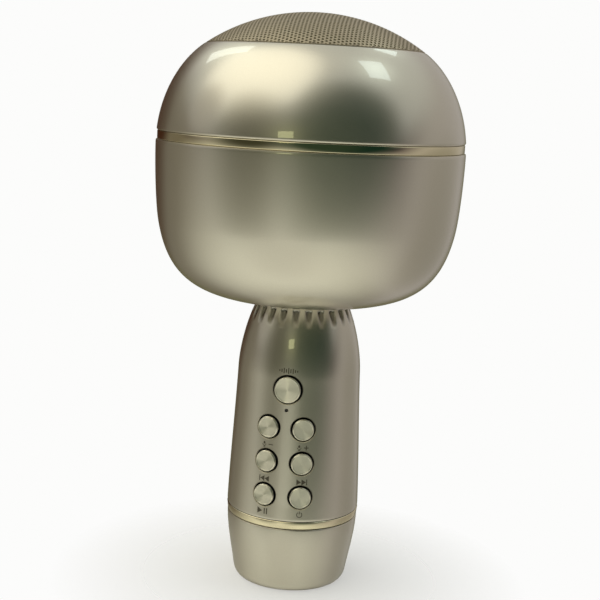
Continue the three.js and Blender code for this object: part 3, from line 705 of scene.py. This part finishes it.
def smooth_outside(mesh):
    """Gives the plain part of the barrel its outline's exact normals, so that cut edges leave no marks."""
    near, aligned = 0.03, 0.97
    bottom = HANDLE_BOTTOM + 0.6
    smooth(mesh, 40)
    normals = [Vector(n.vector) for n in mesh.corner_normals]
    slope = np.gradient(handle_line[:, 0], handle_line[:, 1])
    for face in mesh.polygons:
        for loop in face.loop_indices:
            point = mesh.vertices[mesh.loops[loop].vertex_index].co / MM
            radius = math.hypot(point.x, point.y)
            if not bottom <= point.z <= BARREL_TOP or abs(radius - handle_radius(point.z)) > near:
                continue
            rise = -np.interp(point.z, handle_line[:, 1], slope)
            exact = Vector((point.x / radius, point.y / radius, rise))
            exact.normalize()
            if exact.dot(face.normal) > aligned:
                normals[loop] = exact
    mesh.normals_split_custom_set(normals)


def mark_painted_groove_shade(mesh):
    """Stores how deep each point lies in a flute, from 0 to 1, as the weight of the painted shade that
    darkens the paint there.
    """
    least, full = 0.02, 0.4
    # the depth below the outline becomes the strength of the painted shade in the flutes
    depths = mesh.attributes.new("painted_groove_shade", "FLOAT", "POINT")
    for vertex, depth in zip(mesh.vertices, depths.data):
        x, y, z = vertex.co / MM
        if z > FLUTE_END - 1:
            depth.value = min(1.0, max(0.0, (handle_radius(z) - math.hypot(x, y) - least) / full))


def surface_cutter(angle, z, radius, chamfer, depth=9.0, sides=72):
    """A round cutter square to the handle, whose chamfer follows the curved surface."""
    out = np.array([math.sin(angle), -math.cos(angle), 0.0])
    across = np.array([math.cos(angle), math.sin(angle), 0.0])
    clear = 0.4
    vertices = []
    mouth = radius + chamfer
    levels = [(radius, -depth), (radius, -chamfer), (mouth, 0.0), (mouth + clear, clear)]
    for reach, lift in levels:
        for a in full_turn(sides):
            u, v = reach * math.cos(a), reach * math.sin(a)
            height = math.sqrt(handle_radius(z + v) ** 2 - u**2) + lift
            if lift == -depth:
                height = handle_radius(z) - depth
            vertices.append(out * height + across * u + np.array([0, 0, z + v]))
    return vertices, tube_faces(sides, len(levels))


def rod_cutter(radius, front, back, x, z, sides=32):
    """A round cutter along Y, between two places on it."""
    outline = [(x + radius * math.cos(a), z + radius * math.sin(a)) for a in full_turn(sides)]
    vertices = [(u, y, v) for y in (front, back) for u, v in outline]
    return vertices, tube_faces(sides)


def make_handle():
    """Both halves of the handle, cut for the buttons and the light in front and the sockets behind."""
    front = [surface_cutter(angle, z, size["hole"], 0.3) for angle, z, size in BUTTONS.values()]
    front.append(surface_cutter(0, LIGHT_Z, 0.7, 0.12, depth=4, sides=24))
    piece = half_shell("front_grip", -1, front)
    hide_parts("handle_front_shell")
    rear = [rod_cutter(WELL_RADIUS, WELL_Y + 6, CUT_TO, x, z) for x, z in SCREWS]
    rear.append(rod_cutter(JACK_HOLE, CUT_FROM, CUT_TO, 0, JACK_Z, 48))
    rear.append(slot_cutter(*USB_HOLE, CUT_FROM, CUT_TO, USB_Z))
    rear.append(slot_cutter(*CARD_HOLE, CUT_FROM, CUT_TO, CARD_Z))
    piece = half_shell("rear_grip", 1, rear)
    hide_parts("handle_rear_shell")
    add_wells()


def slot_cutter(width, height, front, back, z, corner=0.85):
    """A rectangular slot with rounded corners, along Y."""
    corner = min(corner, height / 2 - 0.02)
    outline = []
    for cx, cz, start in ((1, 1, 0), (-1, 1, 90), (-1, -1, 180), (1, -1, 270)):
        centre = (cx * (width / 2 - corner), z + cz * (height / 2 - corner))
        outline.extend(arc(centre, corner, start, start + 90, 6))
    vertices = [(x, y, h) for y in (front, back) for x, h in outline]
    return vertices, tube_faces(len(outline))


def facing_back(x, z):
    """A place on the XZ plane for a part whose own Z axis is to point to the back."""
    return Matrix.Translation((x * MM, 0, z * MM)) @ Matrix.Rotation(math.radians(-90), 4, "X")


def add_wells():
    """The sleeves that line the screw wells of the rear half, with a screw at the bottom of each."""
    outer, bore, foot = WELL_RADIUS + WELL_WALL, 1.7, 1.1
    paint = FINISHES["champagne_paint"]
    for index, (x, z) in enumerate(SCREWS):
        place = facing_back(x, z)
        end = math.sqrt(handle_radius(z) ** 2 - (abs(x) + outer) ** 2) if z < 90 else 11.5
        end -= 1.2
        sleeve = [
            [WELL_RADIUS, WELL_Y],
            [WELL_RADIUS, end],
            [outer, end],
            [outer, foot],
            [bore, foot],
            [bore, WELL_Y],
        ]
        lathe(f"well_{index + 1}", sleeve, paint, 48, matrix=place, slot="champagne_paint")
        make_screw(f"handle_screw_{index + 1}", place)


def make_screw(node, place):
    """A pan-head screw with a cross recess, its head resting on the foot of the well."""
    base = WELL_Y + 0.2
    outline = [
        [0, base + 1.85], [1.4, base + 1.82], [2.1, base + 1.6], [2.5, base + 1.1], [2.6, base + 0.4],
        [2.55, base], [1.1, base], [1.1, base - 15], [0, base - 16],
    ]
    steel = FINISHES["steel"]
    piece = lathe(f"{node}_turned", outline, steel, 48, matrix=place, replaces=[node], slot="steel")
    points, faces = cross_prism(1.5, 0.28, base + 0.7, base + 4)
    turn = place.to_3x3()
    points = [tuple((turn @ Vector(p)) + place.translation / MM) for p in points]
    cut_away(piece, [(points, faces)])
    smooth(piece.data, 35)


def cross_prism(wide, thin, low, high):
    """A plus-shaped prism between two heights, with arms of the given half length and half width."""
    plus = [
        (wide, -thin), (wide, thin), (thin, thin), (thin, wide), (-thin, wide), (-thin, thin),
        (-wide, thin), (-wide, -thin), (-thin, -thin), (-thin, -wide), (thin, -wide), (thin, -thin),
    ]
    return [(x, y, z) for z in (low, high) for x, y in plus], tube_faces(len(plus))


def make_tail():
    """The tail: a rounded foot, a neck that enters the handle, and a post inside."""
    sides = bezier([[27.05, 27.55], [26.9, 20], [25, 12], [23.75, 4.4]], 48)
    corner = bezier([[23.75, 4.4], [23.3, 1.6], [22, 0], [19.8, 0]], 24)
    outline = [
        [0, 0],
        *corner[::-1].tolist(),
        *sides[::-1][1:].tolist(),
        *arc((26.75, 27.7), 0.3, 0, 90),
        [22, 28],
        [22, 35],
        [19.6, 35],
        [19.6, 24],
        [22, 20],
        [20.8, 6],
        [18.5, 3],
        [4, 3],
        [4, 21],
        [0, 21],
    ]
    lathe(
        "turned_tail", outline, FINISHES["champagne_paint"], 192, body="tail_cap", replaces=["tail_cap"],
        slot="champagne_paint",
    )


# ---------------------------------------------------------------- buttons and labels


def make_buttons():
    """Spun metal caps with a shallow dish, each on a flange and a stem of dark plastic."""
    for name, (angle, z, size) in BUTTONS.items():
        face = handle_radius(z) + BUTTON_PROUD
        flange = handle_radius(z) - size["drop"]
        cap = size["cap"]
        dish = [[r, face - 0.16 + 0.06 * (r / cap) ** 2] for r in np.linspace(0, cap - 0.62, 16)]
        outline = [
            *dish,
            [cap - 0.5, face - 0.02],
            [cap - 0.42, face],
            *arc((cap - 0.38, face - 0.38), 0.38, 85, 0, 6),
            [cap, face - METAL_RIM],
            [cap, flange],
            [size["flange"], flange],
            [size["flange"], flange - BUTTON_FLANGE],
            [STEM_RADIUS, flange - BUTTON_FLANGE],
            [STEM_RADIUS, STEM_END],
            [0, STEM_END],
        ]
        outline = [[r, h - face] for r, h in outline]
        out = Vector((math.sin(angle), -math.cos(angle), 0))
        across = Vector((math.cos(angle), math.sin(angle), 0))
        place = Matrix((across, Vector((0, 0, 1)), out)).transposed().to_4x4()
        place.translation = out * face * MM + Vector((0, 0, z * MM))
        piece = lathe(
            f"{name}_cap", outline, FINISHES["button_metal"], 96, body=f"{name}_key", matrix=place,
            replaces=[f"{name}_button"], slot="button_metal", sharp=28,
        )
        piece.data.materials.append(FINISHES["black_plastic"])
        for part in piece.data.polygons:
            if part.center.z < -METAL_RIM * MM:
                part.material_index = 1


class Label:
    """A small printed picture, drawn in millimetres on the handle round a point at (angle, z)."""

    def __init__(self, name, angle, z, scale=1.25):
        self.name, self.angle, self.z, self.scale = name, angle, z, scale
        self.vertices, self.faces = [], []

    def patch(self, outline):
        start = len(self.vertices)
        for u, v in outline:
            u, v = u * self.scale, v * self.scale
            radius = handle_radius(self.z + v)
            turn = self.angle + u / radius
            for lift in (0.0, INK_HEIGHT):
                reach = radius + lift
                self.vertices.append((reach * math.sin(turn), -reach * math.cos(turn), self.z + v))
        count = len(outline)
        self.faces.append([start + 2 * i + 1 for i in range(count)])
        self.faces.append([start + 2 * i for i in range(count)][::-1])
        for i in range(count):
            j = (i + 1) % count
            self.faces.append([start + 2 * i, start + 2 * j, start + 2 * j + 1, start + 2 * i + 1])

    def bar(self, start, end, width=0.24):
        (x0, y0), (x1, y1) = start, end
        length = math.hypot(x1 - x0, y1 - y0)
        nx, ny = -(y1 - y0) / length * width / 2, (x1 - x0) / length * width / 2
        self.patch([(x0 - nx, y0 - ny), (x1 - nx, y1 - ny), (x1 + nx, y1 + ny), (x0 + nx, y0 + ny)])

    def ring(self, centre, radius, start=0, end=360, width=0.24, steps=28):
        inner, outer = radius - width / 2, radius + width / 2
        angles = np.radians(np.linspace(start, end, steps + 1))
        for a, b in zip(angles[:-1], angles[1:]):
            corners = [(inner, a), (outer, a), (outer, b), (inner, b)]
            self.patch([(centre[0] + r * math.cos(t), centre[1] + r * math.sin(t)) for r, t in corners])

    def triangle(self, tip, size):
        """Points to the right, or to the left if its size is negative."""
        x, y = tip
        half = abs(size) * 0.62
        corners = [(x, y), (x - size, y + half), (x - size, y - half)]
        self.patch(corners if size > 0 else corners[::-1])

    def microphone(self, x, y):
        """A capsule in a bow, on a stem with a foot."""
        angles = np.radians(np.arange(0, 360, 30))
        self.patch([(x + 0.32 * math.cos(a), y + 0.42 + 0.32 * math.sin(a)) for a in angles])
        self.bar((x, y + 0.42), (x, y - 0.1), 0.64)
        self.ring((x, y - 0.05), 0.6, 180, 360, 0.18, 12)
        self.bar((x, y - 0.65), (x, y - 1.0), 0.18)
        self.bar((x - 0.4, y - 1.0), (x + 0.4, y - 1.0), 0.18)

    def done(self):
        add_mesh(f"{self.name}_label", self.vertices, self.faces, INK, sharp=60)


def make_labels():
    """Generic pictures: level bars, microphone down and up, skip back and on, play and pause, and power."""
    label = Label("effect", 0, 92.75, 1.0)
    for x, height in zip(np.linspace(-3.6, 3.6, 9), (0.7, 1.3, 2.1, 1.4, 2.4, 1.6, 2.0, 1.1, 0.7)):
        label.bar((x, -height / 2), (x, height / 2), 0.42)
    label.done()
    for name, angle, z in (("mic_down", -COLUMN_ANGLE, 62.2), ("mic_up", COLUMN_ANGLE, 62.0)):
        label = Label(name, angle, z)
        label.microphone(-1.0, 0.2)
        label.bar((0.5, 0.1), (2.0, 0.1), 0.28)
        if name == "mic_up":
            label.bar((1.25, -0.65), (1.25, 0.85), 0.28)
        label.done()
    for name, angle, z, way in (("previous", -COLUMN_ANGLE, 48.3, -1), ("next", COLUMN_ANGLE, 48.1, 1)):
        label = Label(name, angle, z)
        label.triangle((way * 0.1, 0), way * 1.5)
        label.triangle((way * 1.7, 0), way * 1.5)
        label.bar((way * 1.9, -0.95), (way * 1.9, 0.95), 0.3)
        label.done()
    label = Label("play", -COLUMN_ANGLE, 34.9)
    label.triangle((-0.3, 0), 1.7)
    label.bar((0.5, -0.95), (0.5, 0.95), 0.36)
    label.bar((1.3, -0.95), (1.3, 0.95), 0.36)
    label.done()
    label = Label("power", COLUMN_ANGLE, 34.8)
    label.ring((0, -0.1), 0.85, 120, 420)
    label.bar((0, 0.1), (0, 1.05), 0.24)
    label.done()


# ---------------------------------------------------------------- sockets in the back


def make_sockets():
    """The charging socket, the audio jack and the card slot, from bottom to top."""
    steel, black = FINISHES["steel"], FINISHES["black_plastic"]
    outer = slot_cutter(7.8, 3.0, SOCKET_BACK, 25.8, USB_Z, 0.9)
    piece = add_mesh("usb_shell", *outer, steel, replaces=["usb_port"], slot="steel")
    cut_away(piece, [slot_cutter(7.0, 2.3, 20.5, 27, USB_Z, 0.7)])
    piece.data.set_sharp_from_angle(angle=math.radians(35))
    tongue = slot_cutter(5.2, 0.6, 20.3, 25.0, USB_Z, 0.25)
    add_mesh("usb_tongue", *tongue, black, slot="black_plastic")

    place = facing_back(0, JACK_Z)
    collar = [
        [0, 19.5],
        [1.75, 19.5],
        [1.75, 25.6],
        [1.95, 25.9],
        [2.6, 25.9],
        [2.8, 25.7],
        [2.8, 21.5],
        [3, 21.5],
        [3, SOCKET_BACK],
        [0, SOCKET_BACK],
    ]
    lathe("jack_collar", collar, black, 64, matrix=place, replaces=["aux_jack"], slot="black_plastic")

    outer = slot_cutter(13.2, 2.4, SOCKET_BACK, 22.4, CARD_Z, 0.3)
    piece = add_mesh("card_housing", *outer, steel, replaces=["card_slot"], slot="steel")
    cut_away(piece, [slot_cutter(11.2, 1.0, 19.5, 25, CARD_Z, 0.2)])
    piece.data.set_sharp_from_angle(angle=math.radians(35))


make_shells()
trim_ring(
    "equator_ring", RING_RADIUS, RING_LOW + TRIM_GAP, RING_HIGH - TRIM_GAP, RING_INNER, ["head_trim_ring"]
)
make_grille()
make_foam()
make_handle()
trim_ring(
    "lower_ring", replaces=["handle_trim_ring"], **LOWER_RING,
    sleeve=([LOWER_RING_SLEEVE, LOWER_RING["high"]], [LOWER_RING_SLEEVE, LOWER_RING_TOP]),
)
make_tail()
make_buttons()
make_labels()
make_sockets()

# ---------------------------------------------------------------- floor, light and surroundings


def toward(azimuth, elevation):
    """A direction from the object. Its azimuth starts at the camera and grows to the camera's right."""
    a, e = math.radians(CAMERA_AZIMUTH + azimuth), math.radians(elevation)
    return Vector((math.sin(a) * math.cos(e), -math.cos(a) * math.cos(e), math.sin(e)))


def softbox(
    name, azimuth, elevation, distance, width, height, roll, power, color, target=0.17, spread=180
):
    """A rectangular lamp that shines on a point of the axis. Lengths are in metres, angles in degrees."""
    data = bpy.data.lights.new(name, "AREA")
    data.shape = "RECTANGLE"
    data.size, data.size_y = width, height
    data.energy = power
    data.color = color
    data.spread = math.radians(spread)
    made = bpy.data.objects.new(name, data)
    bpy.context.collection.objects.link(made)
    centre = Vector((0, 0, target))
    way = toward(azimuth, elevation)
    aim = (-way).to_track_quat("-Z", "Y").to_matrix().to_4x4()
    made.matrix_world = aim @ Matrix.Rotation(math.radians(roll), 4, "Z")
    made.matrix_world.translation = centre + way * distance
    made.visible_camera = False


class Surroundings:
    """The room as soft areas of light and dark, each a colour round a direction, laid over one another."""

    def __init__(self, color):
        world = bpy.data.worlds.new("studio")
        bpy.context.scene.world = world
        world.use_nodes = True
        self.tree = world.node_tree
        self.background = self.tree.nodes["Background"]
        self.direction = self.tree.nodes.new("ShaderNodeTexCoord").outputs["Generated"]
        self.color = self.tree.nodes.new("ShaderNodeRGB").outputs[0]
        self.color.default_value = (*color, 1)

    def mix(self, factor, color):
        made = self.tree.nodes.new("ShaderNodeMix")
        made.data_type = "RGBA"
        self.tree.links.new(factor, made.inputs[0])
        self.tree.links.new(self.color, made.inputs[6])
        made.inputs[7].default_value = (*color, 1)
        self.color = made.outputs[2]

    def area(self, azimuth, elevation, inner, outer, color):
        """Full strength within the inner angle from the direction, and none beyond the outer one."""
        dot = self.tree.nodes.new("ShaderNodeVectorMath")
        dot.operation = "DOT_PRODUCT"
        dot.inputs[1].default_value = toward(azimuth, elevation)
        self.tree.links.new(self.direction, dot.inputs[0])
        fade = self.tree.nodes.new("ShaderNodeMapRange")
        fade.interpolation_type = "SMOOTHSTEP"
        fade.inputs["From Min"].default_value = math.cos(math.radians(outer))
        fade.inputs["From Max"].default_value = math.cos(math.radians(inner))
        self.tree.links.new(dot.outputs["Value"], fade.inputs["Value"])
        self.mix(fade.outputs["Result"], color)

    def done(self, backdrop):
        """Joins the room to the world, behind a plain pale backdrop for what is seen directly."""
        seen = self.tree.nodes.new("ShaderNodeLightPath").outputs["Is Camera Ray"]
        self.mix(seen, backdrop)
        self.tree.links.new(self.color, self.background.inputs["Color"])


def make_room():
    """Each area: azimuth, elevation, the angles where it is full and gone, and its colour."""
    room = Surroundings((0.45, 0.42, 0.39))
    room.area(-75, -40, 75, 90, (0.18, 0.16, 0.12))
    room.area(-10, 35, 70, 100, (0.04, 0.02, 0.035))
    room.area(-20, -45, 5, 90, (0.96, 0.96, 0.82))
    room.area(115, -20, 5, 33, (0.33, 0.31, 0.27))
    room.area(180, -14, 10, 36, (0.13, 0.12, 0.06))
    room.area(-20, -40, 0, 30, (0.79, 0.78, 0.67))
    room.area(-10, 70, 65, 85, (0.6, 0.61, 0.57))
    room.area(-67, 54, 26, 42, (1.65, 1.6, 1.36))
    room.area(29, 19, 27, 47, (0.01, 0.03, 0.02))
    room.area(-152, 5, 6, 28, (0.05, 0.02, 0.01))
    room.area(-45, 8, 2, 41, (0.05, 0.05, 0.03))
    room.area(-90, 20, 2, 20, (0.48, 0.46, 0.41))
    room.area(5, 8, 6, 40, (0.03, 0.05, 0.03))
    room.done(srgb(252, 252, 251))


def make_floor():
    """A pale disc that fades out into the backdrop, and is open under the tail."""
    sides = 96
    opening, edge = 0.019, 0.11
    rings = np.linspace(opening, edge, 15)
    points = [(r * math.cos(a), r * math.sin(a), 0) for r in rings for a in full_turn(sides)]
    faces = []
    for k in range(len(rings) - 1):
        a, b = k * sides, (k + 1) * sides
        faces.extend((a + i, b + i, b + (i + 1) % sides, a + (i + 1) % sides) for i in range(sides))
    floor = bpy.data.meshes.new("floor")
    floor.from_pydata(points, [], faces)
    finish = Material("floor", srgb(240, 239, 236), roughness=0.9, specular_ior_level=0.1)
    finish.link(finish.blend(finish.noise(3, 2), srgb(238, 237, 234), srgb(242, 241, 238)), "Base Color")
    distance = finish.node("VectorMath", {"Vector": finish.position()}, operation="LENGTH").outputs["Value"]
    finish.link(finish.spread(distance, 0.55, 0.0, 0.025, 0.1), "Alpha")
    floor.materials.append(finish.material)
    made = bpy.data.objects.new("floor", floor)
    bpy.context.collection.objects.link(made)


def make_lamps():
    """Four lamps for the windows and lights of the room, and a small one for the foot of the handle."""
    softbox("window_right", 87, 59, 1.6, 0.38, 0.5, -45, 0.9, (0.84, 1.0, 0.97))
    softbox("window_back", 144, 50, 1.6, 0.26, 0.26, -35, 0.32, (0.84, 1.0, 0.97))
    softbox("window_left", -131, 46, 1.6, 0.26, 0.66, -8, 0.75, (0.93, 1.0, 0.9))
    softbox("lamp_front", -18, 12.5, 1.8, 0.34, 0.18, 5, 0.33, (1.0, 1.0, 0.5))
    softbox("lamp_low", -10, -12, 0.3, 0.15, 0.07, 0, 0.0006, (1.0, 0.99, 0.8), 0.06, 45)


bpy.context.scene.view_settings.view_transform = "Standard"
make_room()
make_floor()
make_lamps()
